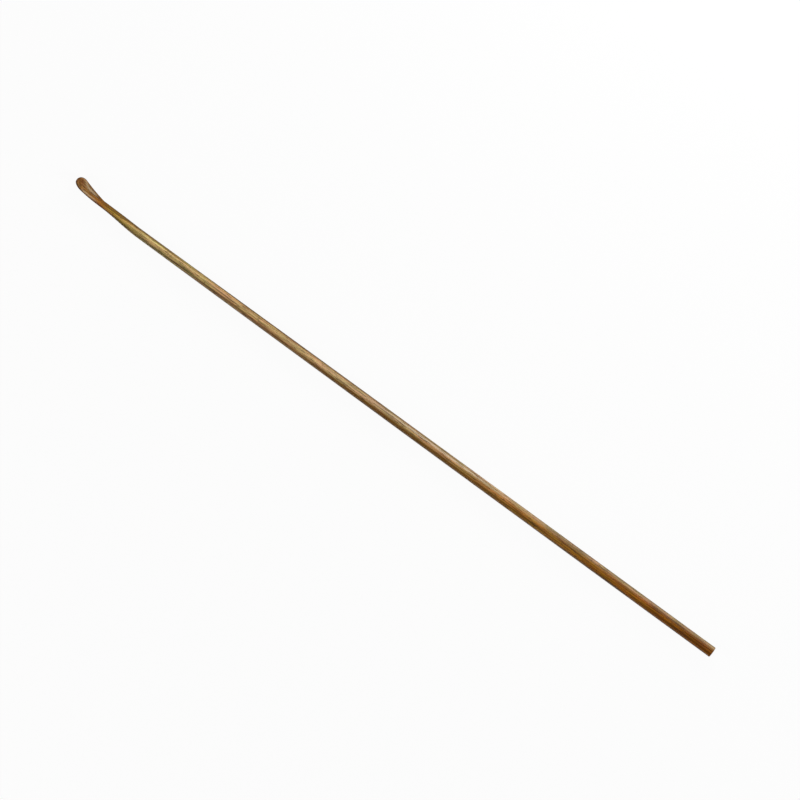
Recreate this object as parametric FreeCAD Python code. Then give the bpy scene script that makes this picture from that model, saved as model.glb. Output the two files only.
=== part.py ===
import FreeCAD, Part
import math
import os

# Ear pick: one piece of brown wood, lying as it comes to rest.
# It is shaped along +X, from the square butt (x = 0) to the tip of the scoop,
# with the hollow of the scoop facing +Z, and is rolled to its rest at the end.
# All sizes are in millimetres.

LENGTH = 173.0            # butt face to tip of the scoop

# Round stick
BUTT_RADIUS = 1.23        # thick end
STRAIGHT_LENGTH = 30.0    # the thick end is truly cylindrical this far
HEAD_RADIUS = 1.03        # thin end, where the shaving of the neck begins
BUTT_EDGE = 0.22          # sanded edge of the butt
TAPER_FULLNESS = 0.038    # the long taper's middle stands this far past a straight line

# Neck, shaved flat from behind
NECK_LENGTH = 10.4        # from where the knife enters to the thinnest place
NECK_HALF_WIDTH = 0.90
NECK_FRONT = 0.90         # height of the neck's front above the stick's axis
NECK_THICKNESS = 0.86
NECK_SIDE = 0.18          # from the front down to the widest line of the section

# Scoop
SCOOP_LENGTH = 7.6        # from the thinnest place, where it bends up, to the tip
SCOOP_FLARE = 0.120       # half width gained for each millimetre of length
SCOOP_RISE = 0.150        # slope of the rim where the bend begins
BEND_RADIUS = 25.0        # the rim then curves up at this radius
SCOOP_THICKNESS = 1.05    # rim to back, over the hollow
SCOOP_SIDE = 0.30         # from the rim down to the widest line of the section
EDGE_SQUARENESS = 4.0     # 2 is an ellipse, more is a flatter face

# Tip
TIP_LENGTH = 2.1          # the outline rounds in over this last stretch
TIP_THICKNESS = 0.30
TIP_DROP = 0.85           # the rim dips this much as it rounds over the tip
TIP_SWEEP_DEG = 87.0      # the tip's quarter ellipse stops here, at a tiny flat

# Hollow, as a gouge leaves it: a turned shape lying in the rim
HOLLOW_SETBACK = 0.5      # from the thinnest place to where the hollow runs out
HOLLOW_END_WALL = 0.75    # rim left between the hollow and the tip
HOLLOW_HALF_WIDTH = 1.05  # at the gouge's nose
HOLLOW_DEPTH = 0.62       # at the gouge's nose, below the rim
GOUGE_START_RADIUS = 0.44
GOUGE_FULLNESS = 0.21     # how far the gouge's side bulges past a straight line

JOIN_TOLERANCE = 0.0001   # the neck's splines meet the stick's circle this closely

# Lying at rest: how far the scoop's hollow leans from straight up
REST_ROLL_DEG = 78.0

# Places along the stick
NECK_X = LENGTH - SCOOP_LENGTH
SHAVING_X = NECK_X - NECK_LENGTH
TIP_ROUND_X = LENGTH - TIP_LENGTH
HOLLOW_START_X = NECK_X + HOLLOW_SETBACK
GOUGE_NOSE_RADIUS = (HOLLOW_HALF_WIDTH**2 + HOLLOW_DEPTH**2) / (2.0 * HOLLOW_DEPTH)
GOUGE_NOSE_X = LENGTH - HOLLOW_END_WALL - HOLLOW_HALF_WIDTH


def ease(share):
    """Smooth step from 0 to 1."""
    share = min(max(share, 0.0), 1.0)
    return share * share * (3.0 - 2.0 * share)


def blend(start, end, share):
    return start + (end - start) * share


def rim_height(x):
    """Height of the scoop's rim along its bend, before the tip rounds over."""
    run = x - NECK_X
    return NECK_FRONT + SCOOP_RISE * run + run * run / (2.0 * BEND_RADIUS)


def tip_reach():
    """Length of the quarter ellipse that rounds the outline in to the tip."""
    return TIP_LENGTH / math.sin(math.radians(TIP_SWEEP_DEG))


def tip_share(x):
    """1 along the scoop, then the quarter ellipse down towards 0 at the tip."""
    run = max(0.0, x - TIP_ROUND_X) / tip_reach()
    return math.sqrt(max(0.0, 1.0 - run * run))


def neck_section(x):
    """Half width, front, back, side and squareness along the shaved neck."""
    share = ease((x - SHAVING_X) / NECK_LENGTH)
    width = blend(HEAD_RADIUS, NECK_HALF_WIDTH, share)
    front = blend(HEAD_RADIUS, NECK_FRONT, share)
    thickness = blend(2.0 * HEAD_RADIUS, NECK_THICKNESS, share)
    side = blend(HEAD_RADIUS, NECK_SIDE, share)
    return width, front, front - thickness, side, blend(2.0, EDGE_SQUARENESS, share)


def scoop_section(x):
    """Half width, front, back, side and squareness along the scoop."""
    share = ease((x - NECK_X) / (SCOOP_LENGTH - TIP_LENGTH))
    round_off = tip_share(x)
    width = (NECK_HALF_WIDTH + SCOOP_FLARE * (x - NECK_X)) * round_off
    front = rim_height(x) - TIP_DROP * (1.0 - round_off)
    full = blend(NECK_THICKNESS, SCOOP_THICKNESS, share)
    thickness = blend(TIP_THICKNESS, full, round_off)
    side = min(blend(NECK_SIDE, SCOOP_SIDE, share), 0.5 * thickness)
    return width, front, front - thickness, side, EDGE_SQUARENESS


def signed_power(value, power):
    return math.copysign(abs(value) ** power, value)


def section_at(x):
    if x < NECK_X:
        return neck_section(x)
    return scoop_section(x)


def half_outline(x, centre, width, reach, power, steps=12):
    """Half of a section as one spline, from one side over the top or under."""
    points = []
    for i in range(steps + 1):
        angle = math.pi * i / steps
        y = width * signed_power(math.cos(angle), power)
        z = centre + reach * math.sin(angle) ** power
        points.append(FreeCAD.Vector(x, y, z))
    points[0].y, points[-1].y = width, -width
    points[0].z = points[-1].z = centre
    upward = FreeCAD.Vector(0, 0, math.pi * reach / power)
    curve = Part.BSplineCurve()
    curve.interpolate(
        Points=points,
        Parameters=[i / steps for i in range(steps + 1)],
        InitialTangent=upward,
        FinalTangent=upward * -1.0,
        Scale=False,
    )
    return curve


def section_wire(x):
    """Closed outline across the wood: a flattish front over a rounded back."""
    width, front, back, side, squareness = section_at(x)
    centre = front - side
    over = half_outline(x, centre, width, side, 2.0 / squareness)
    under = half_outline(x, centre, width, back - centre, 1.0)
    under.reverse()
    return Part.Wire([over.toShape(), under.toShape()])


def make_stick():
    """Round stick: sanded butt, cylinder and long taper, on the X axis."""
    cut = BUTT_EDGE * (1.0 - math.sqrt(0.5))
    corner = FreeCAD.Vector(0, BUTT_RADIUS - BUTT_EDGE, 0)
    edge_middle = FreeCAD.Vector(cut, BUTT_RADIUS - cut, 0)
    edge_end = FreeCAD.Vector(BUTT_EDGE, BUTT_RADIUS, 0)
    straight_end = FreeCAD.Vector(STRAIGHT_LENGTH, BUTT_RADIUS, 0)
    taper_end = FreeCAD.Vector(SHAVING_X, HEAD_RADIUS, 0)
    start_axis = FreeCAD.Vector(0, 0, 0)
    end_axis = FreeCAD.Vector(SHAVING_X, 0, 0)
    taper_middle = (straight_end + taper_end) * 0.5 + FreeCAD.Vector(0, 2.0 * TAPER_FULLNESS, 0)
    taper = Part.BezierCurve()
    taper.setPoles([straight_end, taper_middle, taper_end])
    edges = [
        Part.LineSegment(start_axis, corner).toShape(),
        Part.Arc(corner, edge_middle, edge_end).toShape(),
        Part.LineSegment(edge_end, straight_end).toShape(),
        taper.toShape(),
        Part.LineSegment(taper_end, end_axis).toShape(),
        Part.LineSegment(end_axis, start_axis).toShape(),
    ]
    face = Part.Face(Part.Wire(edges))
    return face.revolve(start_axis, FreeCAD.Vector(1, 0, 0), 360)


def head_stations():
    """Places of the sections: even along the neck, closer as the tip rounds in."""
    neck = [SHAVING_X + NECK_LENGTH * i / 8.0 for i in range(8)]
    scoop = [NECK_X + (TIP_ROUND_X - NECK_X) * i / 6.0 for i in range(7)]
    tip = []
    for share in (0.23, 0.44, 0.60, 0.74, 0.85, 0.94, 1.0):
        sweep = math.radians(TIP_SWEEP_DEG * share)
        tip.append(TIP_ROUND_X + tip_reach() * math.sin(sweep))
    return neck + scoop + tip


def make_head():
    """Neck and scoop before hollowing, lofted through their sections."""
    wires = [section_wire(x) for x in head_stations()]
    return Part.makeLoft(wires, True, False)


def make_gouge():
    """Turned cutter for the hollow, tilted to lie along the bent rim."""
    start_z = rim_height(HOLLOW_START_X) + GOUGE_START_RADIUS
    nose_z = rim_height(GOUGE_NOSE_X) + GOUGE_NOSE_RADIUS - HOLLOW_DEPTH
    run = GOUGE_NOSE_X - HOLLOW_START_X
    rise = nose_z - start_z
    reach = math.hypot(run, rise)
    middle_radius = 0.5 * (GOUGE_START_RADIUS + GOUGE_NOSE_RADIUS) + GOUGE_FULLNESS
    bulge = GOUGE_NOSE_RADIUS * math.sqrt(0.5)
    origin = FreeCAD.Vector(0, 0, 0)
    start = FreeCAD.Vector(0, 0, GOUGE_START_RADIUS)
    middle = FreeCAD.Vector(0.5 * reach, 0, middle_radius)
    shoulder = FreeCAD.Vector(reach, 0, GOUGE_NOSE_RADIUS)
    nose_middle = FreeCAD.Vector(reach + bulge, 0, bulge)
    nose = FreeCAD.Vector(reach + GOUGE_NOSE_RADIUS, 0, 0)
    edges = [
        Part.LineSegment(origin, start).toShape(),
        Part.Arc(start, middle, shoulder).toShape(),
        Part.Arc(shoulder, nose_middle, nose).toShape(),
        Part.LineSegment(nose, origin).toShape(),
    ]
    gouge = Part.Face(Part.Wire(edges)).revolve(origin, FreeCAD.Vector(1, 0, 0), 360)
    gouge.rotate(origin, FreeCAD.Vector(0, 1, 0), -math.degrees(math.atan2(rise, run)))
    gouge.translate(FreeCAD.Vector(HOLLOW_START_X, 0, start_z))
    return gouge


def lay_down(shape):
    """Roll to the rest pose and put the origin under the middle, on the floor."""
    origin = FreeCAD.Vector(0, 0, 0)
    shape.rotate(origin, FreeCAD.Vector(1, 0, 0), REST_ROLL_DEG)
    box = shape.optimalBoundingBox(False, False)
    shape.translate(FreeCAD.Vector(-box.Center.x, -box.Center.y, -box.ZMin))
    return shape


def make_ear_pick():
    body = make_stick().fuse([make_head()], JOIN_TOLERANCE)
    body = body.removeSplitter()
    body = body.cut(make_gouge())
    return lay_down(body)


ear_pick = make_ear_pick()
os.makedirs("parts", exist_ok=True)
ear_pick.exportStep("parts/ear_pick.step")
box = ear_pick.optimalBoundingBox(False, False)
print("solids", len(ear_pick.Solids), "faces", len(ear_pick.Faces), "valid", ear_pick.isValid())
print("size", round(box.XLength, 3), round(box.YLength, 3), round(box.ZLength, 3))
print("volume", round(ear_pick.Volume, 2))
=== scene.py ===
# %% [markdown]
# # A wooden ear pick
# The pick is one slim stick of brown wood, 173 mm long. One end is sawn square.
# The other is shaved thin, bent a little and gouged to a small scoop.
# It lies on its round side, and the scoop leans over towards the table.
#
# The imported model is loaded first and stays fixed. Everything else is fitted to it.

# %% Load the fixed frame
import math
import bpy
import numpy as np
from mathutils import Matrix, Vector, noise


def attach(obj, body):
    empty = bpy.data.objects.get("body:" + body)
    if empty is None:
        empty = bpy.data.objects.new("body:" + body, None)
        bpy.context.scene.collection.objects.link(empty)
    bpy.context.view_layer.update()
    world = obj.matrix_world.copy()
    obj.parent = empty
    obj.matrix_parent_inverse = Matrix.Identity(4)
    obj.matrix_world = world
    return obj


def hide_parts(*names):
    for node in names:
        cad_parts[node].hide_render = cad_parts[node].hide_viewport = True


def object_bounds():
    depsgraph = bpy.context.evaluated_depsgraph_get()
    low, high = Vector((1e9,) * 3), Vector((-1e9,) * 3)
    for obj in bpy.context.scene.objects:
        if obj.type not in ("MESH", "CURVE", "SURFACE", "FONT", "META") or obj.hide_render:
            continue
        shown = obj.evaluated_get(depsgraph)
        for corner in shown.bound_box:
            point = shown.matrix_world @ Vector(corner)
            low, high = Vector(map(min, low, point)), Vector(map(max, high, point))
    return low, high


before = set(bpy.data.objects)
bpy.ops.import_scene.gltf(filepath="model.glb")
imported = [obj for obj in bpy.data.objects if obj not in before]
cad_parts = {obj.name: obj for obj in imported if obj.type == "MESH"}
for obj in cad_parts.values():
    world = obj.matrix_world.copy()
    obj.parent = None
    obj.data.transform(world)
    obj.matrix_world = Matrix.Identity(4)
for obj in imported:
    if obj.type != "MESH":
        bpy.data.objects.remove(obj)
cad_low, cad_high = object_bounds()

MM = 0.001
print("frame in mm:", [round((b - a) / MM, 2) for a, b in zip(cad_low, cad_high)])

# %% [markdown]
# ## The sizes of the wood
# A maker scrapes the stick round first, with one long taper, and then cuts the head.
# A cylinder could be pulled into shape by hand, but then no size could be read off
# it. So the form is told as a row of sections along the stick. These are the frame's
# own sizes, in millimetres from the square butt, with the hollow facing +Z before
# the pick is rolled to its rest. All further places are worked out from these.

# %% Sizes along the stick
LENGTH = 173.0
BUTT_RADIUS, STRAIGHT_LENGTH, BUTT_EDGE = 1.23, 30.0, 0.22
HEAD_RADIUS, TAPER_FULLNESS = 1.03, 0.038
NECK_LENGTH, NECK_HALF_WIDTH, NECK_FRONT = 10.4, 0.90, 0.90
NECK_THICKNESS, NECK_SIDE = 0.86, 0.18
SCOOP_LENGTH, SCOOP_FLARE, SCOOP_RISE, BEND_RADIUS = 7.6, 0.120, 0.150, 25.0
SCOOP_THICKNESS, SCOOP_SIDE = 1.05, 0.30
TIP_LENGTH, TIP_THICKNESS, TIP_DROP, TIP_SWEEP = 2.1, 0.30, 0.85, math.radians(87.0)
ROUND, SQUARE = 2.0, 4.0
NECK_X = LENGTH - SCOOP_LENGTH
SHAVING_X = NECK_X - NECK_LENGTH
TIP_ROUND_X = LENGTH - TIP_LENGTH
TIP_REACH = TIP_LENGTH / math.sin(TIP_SWEEP)
REST_ROLL = math.radians(78.0)
print("shaving starts at", SHAVING_X, "mm, thinnest at", round(NECK_X, 1), "mm")

# %% [markdown]
# ### The round stick
# The stick is straight for the first 30 mm and then thins in one long, slightly full
# curve. Its sawn end has a small sanded edge. One radius for each place along the
# stick is all that a round section needs.

# %% Radius of the stick
def ease(share):
    """Smooth step from 0 to 1."""
    share = min(max(share, 0.0), 1.0)
    return share * share * (3.0 - 2.0 * share)


def between(a, b, share):
    return a + (b - a) * share


def stick_radius(x):
    """Sanded edge, straight butt, then one long full taper."""
    if x < BUTT_EDGE:
        return BUTT_RADIUS - BUTT_EDGE + math.sqrt(BUTT_EDGE**2 - (BUTT_EDGE - x) ** 2)
    share = max(0.0, x - STRAIGHT_LENGTH) / (SHAVING_X - STRAIGHT_LENGTH)
    straight = between(BUTT_RADIUS, HEAD_RADIUS, share)
    return straight + 4.0 * TAPER_FULLNESS * share * (1.0 - share)


print("radius at 10 and 150 mm:", round(stick_radius(10.0), 3), round(stick_radius(150.0), 3))

# %% [markdown]
# ### The shaved neck
# Past the stick the wood is no longer round: a knife has made it flat. A section is told
# by its half width, its front, its back, the height of its side, and how square it is.
# The three stretches of the wood get a function each, so that one formula never has to
# serve them all.

# %% Sections of the stick and the neck
def stick_section(x):
    radius = stick_radius(x)
    return radius, radius, -radius, radius, ROUND


def neck_section(x):
    share = ease((x - SHAVING_X) / NECK_LENGTH)
    width = between(HEAD_RADIUS, NECK_HALF_WIDTH, share)
    front = between(HEAD_RADIUS, NECK_FRONT, share)
    back = front - between(2.0 * HEAD_RADIUS, NECK_THICKNESS, share)
    side = between(HEAD_RADIUS, NECK_SIDE, share)
    return width, front, back, side, between(ROUND, SQUARE, share)


for sample_x in (10.0, 100.0):
    print("stick at", sample_x, [round(v, 3) for v in stick_section(sample_x)])
print("neck at 160:", [round(v, 3) for v in neck_section(160.0)])

# %% [markdown]
# ### The scoop
# Towards the tip the wood widens and bends up, and the tip is rounded off. The round end
# could be a separate piece of a ball. It is simpler to shrink the width and the
# thickness along a quarter of an ellipse, so that the skin runs on without a seam.

# %% Sections of the scoop, and of all the wood
def rim_height(x):
    """Height of the front of the scoop, which rises and bends."""
    run = x - NECK_X
    return NECK_FRONT + SCOOP_RISE * run + run * run / (2.0 * BEND_RADIUS)


def scoop_section(x):
    share = ease((x - NECK_X) / (SCOOP_LENGTH - TIP_LENGTH))
    past = max(0.0, x - TIP_ROUND_X) / TIP_REACH
    round_off = math.sqrt(max(0.0, 1.0 - past * past))
    full = between(NECK_THICKNESS, SCOOP_THICKNESS, share)
    thickness = between(TIP_THICKNESS, full, round_off)
    front = rim_height(x) - TIP_DROP * (1.0 - round_off)
    side = min(between(NECK_SIDE, SCOOP_SIDE, share), 0.5 * thickness)
    width = (NECK_HALF_WIDTH + SCOOP_FLARE * (x - NECK_X)) * round_off
    return width, front, front - thickness, side, SQUARE


def section(x):
    """Half width, front, back, side and squareness of the wood at x."""
    if x <= SHAVING_X:
        return stick_section(x)
    if x < NECK_X:
        return neck_section(x)
    return scoop_section(x)


for sample_x in (165.4, 170.0, 172.9):
    print("section at", sample_x, [round(v, 3) for v in section(sample_x)])

# %% [markdown]
# ## The gouge
# The hollow of the scoop is cut with a round-nosed gouge, which leaves a smooth trough
# that starts as a point at the neck and ends in a round wall before the tip. The cut
# could be a boolean with a cone and a ball. Here the gouge is a radius along a line of
# its own, because that can be asked about any point.

# %% The gouge's own form
HOLLOW_SETBACK, HOLLOW_END_WALL = 0.5, 0.75
HOLLOW_HALF_WIDTH, HOLLOW_DEPTH = 1.05, 0.62
GOUGE_START_RADIUS, GOUGE_FULLNESS = 0.44, 0.21
HOLLOW_START_X = NECK_X + HOLLOW_SETBACK
NOSE_RADIUS = (HOLLOW_HALF_WIDTH**2 + HOLLOW_DEPTH**2) / (2.0 * HOLLOW_DEPTH)
NOSE_X = LENGTH - HOLLOW_END_WALL - HOLLOW_HALF_WIDTH
gouge_z = rim_height(HOLLOW_START_X) + GOUGE_START_RADIUS
gouge_run = NOSE_X - HOLLOW_START_X
gouge_rise = rim_height(NOSE_X) + NOSE_RADIUS - HOLLOW_DEPTH - gouge_z
gouge_reach = math.hypot(gouge_run, gouge_rise)
gouge_cos, gouge_sin = gouge_run / gouge_reach, gouge_rise / gouge_reach


def gouge_radius(along):
    """Radius of the gouge at a place along its own axis, and 0 past its ends."""
    share = along / gouge_reach
    straight = between(GOUGE_START_RADIUS, NOSE_RADIUS, share)
    body = straight + 4.0 * GOUGE_FULLNESS * share * (1.0 - share)
    nose = np.sqrt(np.maximum(0.0, NOSE_RADIUS**2 - (along - gouge_reach) ** 2))
    radius = np.where(along < gouge_reach, body, nose)
    return np.where(along < 0.0, 0.0, radius)


print("gouge", round(gouge_reach, 2), "mm long, nose radius", round(NOSE_RADIUS, 2), "mm")

# %% [markdown]
# ### Cut with it
# A boolean would leave long thin faces along the rim, which shade badly. So each point
# of the front is let down instead until it meets the gouge's floor, found by halving
# the depth again and again. That keeps one even net of faces over the whole head.

# %% Let points down to the gouge's floor
CARVE_REACH, CARVE_PASSES = 1.5, 22


def in_gouge(x, y, z):
    along = (x - HOLLOW_START_X) * gouge_cos + (z - gouge_z) * gouge_sin
    across = (z - gouge_z) * gouge_cos - (x - HOLLOW_START_X) * gouge_sin
    return y * y + across * across < gouge_radius(along) ** 2


def carve(x, y, z):
    """Sinks the points of a rim that the gouge reaches down to its floor."""
    is_cut = in_gouge(x, y, z)
    high, low = z.copy(), z - CARVE_REACH
    for _ in range(CARVE_PASSES):
        middle = 0.5 * (high + low)
        inside = in_gouge(x, y, middle)
        high = np.where(inside, middle, high)
        low = np.where(inside, low, middle)
    return np.where(is_cut, high, z), is_cut


floor_z, _ = carve(170.0, np.zeros(1), np.array([rim_height(170.0)]))
print("hollow at 170 mm:", round(rim_height(170.0) - float(floor_z[0]), 2), "mm deep")

# %% [markdown]
# ## One net of faces over the whole pick
# The pick is one piece of wood, so it is one closed skin. Rings of points are laid
# along it and will be joined to their neighbours. The front half of each ring has more
# points than the back, spaced evenly along the curve, to hold the crisp rim.

# %% One ring of points
FRONT_STEPS, BACK_STEPS, CURVE_SAMPLES = 96, 46, 721


def front_curve(width, front, side, squareness):
    """Even points over the front, from one side of the wood to the other."""
    power = 2.0 / squareness
    angle = np.linspace(0.0, math.pi, CURVE_SAMPLES)
    y = width * np.sign(np.cos(angle)) * np.abs(np.cos(angle)) ** power
    z = (front - side) + side * np.abs(np.sin(angle)) ** power
    walked = np.concatenate([[0.0], np.cumsum(np.hypot(np.diff(y), np.diff(z)))])
    even = np.linspace(0.0, walked[-1], FRONT_STEPS + 1)
    return np.interp(even, walked, y), np.interp(even, walked, z)


def ring(x, shrink=1.0):
    """Points across the wood at x, and which of them the gouge has cut."""
    *lengths, squareness = section(x)
    width, front, back, side = (v * shrink for v in lengths)
    y, z = front_curve(width, front, side, squareness)
    z, is_cut = carve(x, y, z)
    under = math.pi + math.pi * np.arange(1, BACK_STEPS) / BACK_STEPS
    y = np.concatenate([y, width * np.cos(under)])
    z = np.concatenate([z, (front - side) + (back - front + side) * -np.sin(under)])
    is_cut = np.concatenate([is_cut, np.zeros(BACK_STEPS - 1, bool)])
    return np.stack([np.full(len(y), x), y, z], 1), is_cut


print("a ring has", len(ring(100.0)[0]), "points")

# %% [markdown]
# ### Where the rings stand
# Even spacing would waste faces on the plain stick and starve the head, where the form
# turns quickly. So each stretch has a spacing of its own, and the last rings are spaced
# by angle round the tip. A station is a place along the wood and a share of its size
# there: the first ones lie on the sawn face, each a smaller copy of its outline.

# %% Stations along the wood
STICK_STEP, NECK_STEPS, SCOOP_STEPS, TIP_STEPS = 0.56, 80, 104, 44
FACE_SHARES, EDGE_STEPS = (0.12, 0.3, 0.48, 0.64, 0.78, 0.9), 8


def stretch(start, end, steps):
    return [(x, 1.0) for x in np.linspace(start, end, steps + 1)[1:]]


butt_face = [(0.0, share) for share in FACE_SHARES]
edge_angles = np.linspace(0, math.pi / 2, EDGE_STEPS)
butt_edge = [(BUTT_EDGE * (1.0 - math.cos(a)), 1.0) for a in edge_angles]
stick = stretch(BUTT_EDGE, SHAVING_X, int((SHAVING_X - BUTT_EDGE) / STICK_STEP))
neck = stretch(SHAVING_X, NECK_X, NECK_STEPS)
scoop = stretch(NECK_X, TIP_ROUND_X, SCOOP_STEPS)
tip_angles = np.linspace(0.0, TIP_SWEEP, TIP_STEPS + 1)[1:]
tip = [(TIP_ROUND_X + TIP_REACH * math.sin(a), 1.0) for a in tip_angles]
stations = butt_face + butt_edge + stick + neck + scoop + tip
rings, ring_cuts = zip(*[ring(x, shrink) for x, shrink in stations])
net, cut = np.stack(rings), np.stack(ring_cuts)
ring_count, ring_size = net.shape[:2]
print("net of", ring_count, "rings of", ring_size, "points")

# %% [markdown]
# ### Ease the rim
# A gouge leaves a sharp arris, and a maker rubs it down so that it doesn't scratch. A
# bevel would need clean edge loops along the cut. Averaging each point of the scoop's
# front with its neighbours rounds the arris by itself and leaves smooth parts alone.

# %% Rub down the arris
RIM_PASSES, HELD_AT_NECK, HELD_AT_TIP = 2, 2, 3


def soften(points, passes):
    """Averages each point with its neighbours, along the wood and then across it."""
    for _ in range(passes):
        lengthways = points.copy()
        lengthways[1:-1] = 0.25 * points[:-2] + 0.5 * points[1:-1] + 0.25 * points[2:]
        crossways = lengthways.copy()
        crossways[:, 1:-1] = (0.25 * lengthways[:, :-2] + 0.5 * lengthways[:, 1:-1]
                              + 0.25 * lengthways[:, 2:])
        points = crossways
    return points


scoop_first = int(np.searchsorted([x for x, _ in stations], NECK_X))
front_half = slice(1, FRONT_STEPS)
softened = soften(net[scoop_first:, : FRONT_STEPS + 1], RIM_PASSES)
eased = softened[HELD_AT_NECK:-HELD_AT_TIP, front_half]
net[scoop_first + HELD_AT_NECK : -HELD_AT_TIP, front_half] = eased
print("rim eased from station", scoop_first)

# %% [markdown]
# ## The marks of making
# Scraping a stick round leaves long, faint flats, and the open grain of the wood leaves
# fine grooves along it. They are under a fortieth of a millimetre, but they break up
# the long highlight, so they are in the mesh and not only in the shading. A few slow
# waves make the flats, and noise drawn out along the wood makes the grooves.

# %% Scraped flats and open grain
FLAT_DEPTH, GRAIN_DEPTH = 0.014, 0.007
# A drift: its share, radians for each mm, and start.
FLAT_DRIFTS = [(0.5, 0.031, 0.7), (0.35, 0.083, 2.1)]
# A flat wave: its share, count round the stick, share of the drift, and start.
FLAT_WAVES = [(0.45, 7.0, 1.0, 0.0), (0.35, 11.0, -1.7, 0.0), (0.20, 3.0, 0.5, 1.0)]
# A groove noise: its share, cells for each mm along and across, and offset.
GROOVE_NOISES = [(0.7, 0.22, 5.0, 0.0), (0.4, 0.6, 11.0, 9.0)]


def scraped(x, angle):
    """Share of the flats' depth, from 0 to 1, at a place round the stick."""
    drift = sum(share * math.sin(pace * x + start) for share, pace, start in FLAT_DRIFTS)
    wave = 0.0
    for share, count, follow, start in FLAT_WAVES:
        wave += share * math.cos(count * angle + follow * drift + start)
    return 0.5 + 0.5 * wave


def open_grain(point):
    """Share of the grooves' depth, from 0 to 1, at a point in the wood."""
    depth = 0.5
    for share, along, across, offset in GROOVE_NOISES:
        cell = (point[0] * along + offset, point[1] * across, point[2] * across)
        depth += share * noise.noise(Vector(cell))
    return min(1.0, max(0.0, depth))


print("at one place:", round(scraped(80.0, 1.0), 2), round(open_grain((80.0, 0.5, 1.0)), 2))

# %% [markdown]
# ## The mesh
# Now the points get their faces: four-sided ones between the rings, and a fan of
# triangles over the middle of each end, so that the skin is closed and could be
# printed or cut as it is.

# %% Join the rings
points = net.reshape(-1, 3)
butt_centre, tip_centre = len(points), len(points) + 1
points = np.vstack([points, [[0.0, 0.0, 0.0]], [net[-1].mean(0)]])
ring_start = np.arange(ring_count - 1)[:, None] * ring_size
this_one = np.arange(ring_size)[None, :]
next_one = (this_one + 1) % ring_size
corners = [ring_start + this_one, ring_start + next_one]
corners += [ring_start + ring_size + next_one, ring_start + ring_size + this_one]
quads = np.stack(corners, -1)
last_ring = (ring_count - 1) * ring_size
faces = [tuple(quad) for quad in quads.reshape(-1, 4).tolist()]
faces += [(butt_centre, (i + 1) % ring_size, i) for i in range(ring_size)]
faces += [(tip_centre, last_ring + i, last_ring + (i + 1) % ring_size) for i in range(ring_size)]
pick_mesh = bpy.data.meshes.new("ear_pick_wood")
pick_mesh.from_pydata(points.tolist(), [], faces)
pick_mesh.update()
print("mesh of", len(faces), "faces")

# %% [markdown]
# ### Face outwards
# The marks are pressed in along the normals, so these have to point out of the wood.
# One point on the plain stick is enough to tell: its normal should lead away from the
# axis, and if it doesn't, the whole skin is turned.

# %% Normals that point out of the wood
TEST_RING = 100
normals = np.zeros(len(points) * 3, np.float32)
pick_mesh.vertices.foreach_get("normal", normals)
normals = normals.reshape(-1, 3)
test_point = points[ring_size * TEST_RING] * [0, 1, 1]
if np.dot(normals[ring_size * TEST_RING], test_point) < 0:
    pick_mesh.flip_normals()
    normals = -normals
print("normals lead outwards:", bool(np.dot(normals[ring_size * TEST_RING], test_point) > 0))

# %% [markdown]
# ### Press the marks in
# Every point moves into the wood by the depth of the flats and grooves at its place.
# They only ever go inwards, so the pick keeps its size. They fade out before the sawn
# end and the tip, where a maker sands across them, and the flats are fainter on the
# head.

# %% Press the marks into the points
MARKS_START_X, MARKS_END_X = BUTT_EDGE, TIP_ROUND_X + 1.2
MARKS_COME_IN, MARKS_GO_OUT, HEAD_FLATS_LESS = 0.5, 1.0, 0.6
centre_z = np.array([section(x)[1] - section(x)[3] for x, _ in stations])
angles = np.arctan2(net[:, :, 2] - centre_z[:, None], net[:, :, 1])
marks = np.zeros(len(points))
for i, (x, _) in enumerate(stations):
    if x < MARKS_START_X or x > MARKS_END_X:
        continue
    flats = 1.0 - ease((x - SHAVING_X) / NECK_LENGTH) * HEAD_FLATS_LESS
    comes_in = min(1.0, (x - MARKS_START_X) / MARKS_COME_IN)
    goes_out = min(1.0, (MARKS_END_X - x) / MARKS_GO_OUT)
    for j in range(ring_size):
        depth = FLAT_DEPTH * flats * scraped(x, angles[i, j])
        depth += GRAIN_DEPTH * open_grain(points[i * ring_size + j])
        marks[i * ring_size + j] = depth * comes_in * goes_out
marked = points - normals * marks[:, None]
print("marks up to", round(float(marks.max()), 3), "mm deep")

# %% [markdown]
# ## Lay it down
# A round stick lies on its side, and this one leans its scoop over. The mesh is rolled
# by the same angle as the frame and set against the frame's box: the butt touches the
# floor and the far side of the box. Rolling the points themselves keeps the object
# unturned, so its own coordinates stay those of the frame.

# %% Roll the mesh to its rest
axis_y = cad_high[1] - BUTT_RADIUS * MM
axis_z = cad_low[2] + BUTT_RADIUS * MM
lay = Matrix.Translation((cad_low[0], axis_y, axis_z)) @ Matrix.Rotation(REST_ROLL, 4, "X")
turn = np.array(lay.to_3x3())
placed = (marked * MM) @ turn.T + np.array(lay.translation)
pick_mesh.vertices.foreach_set("co", placed.astype(np.float32).ravel())
pick_mesh.update()
pick = bpy.data.objects.new("ear_pick_wood", pick_mesh)
bpy.context.scene.collection.objects.link(pick)
pick_mesh.polygons.foreach_set("use_smooth", [True] * len(faces))
print("lowest point", round(float(placed[:, 2].min()) / MM, 4), "mm")

# %% [markdown]
# ## Masks that the finish needs
# Some looks of the real wood follow from how it was worked: cut fibres drink oil. Others
# are painted light and shade: a painted highlight on the rims inside the scoop, painted
# shade on the head and painted shadows on the neck and in the hollow. A mask could be
# painted by hand. Here each is worked out from the form and stored on the mesh as a named
# attribute, which the materials read. The first is how squarely a surface cuts the
# fibres, which is how far its normal leans along the stick.

# %% End grain, and helpers for the masks
mm_along, mm_across = net[:, :, 0], net[:, :, 1]
half_widths = np.array([section(x)[0] * shrink for x, shrink in stations])
side_share = mm_across / half_widths[:, None]
front_only = np.zeros(ring_size)
front_only[front_half] = 1.0


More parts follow.
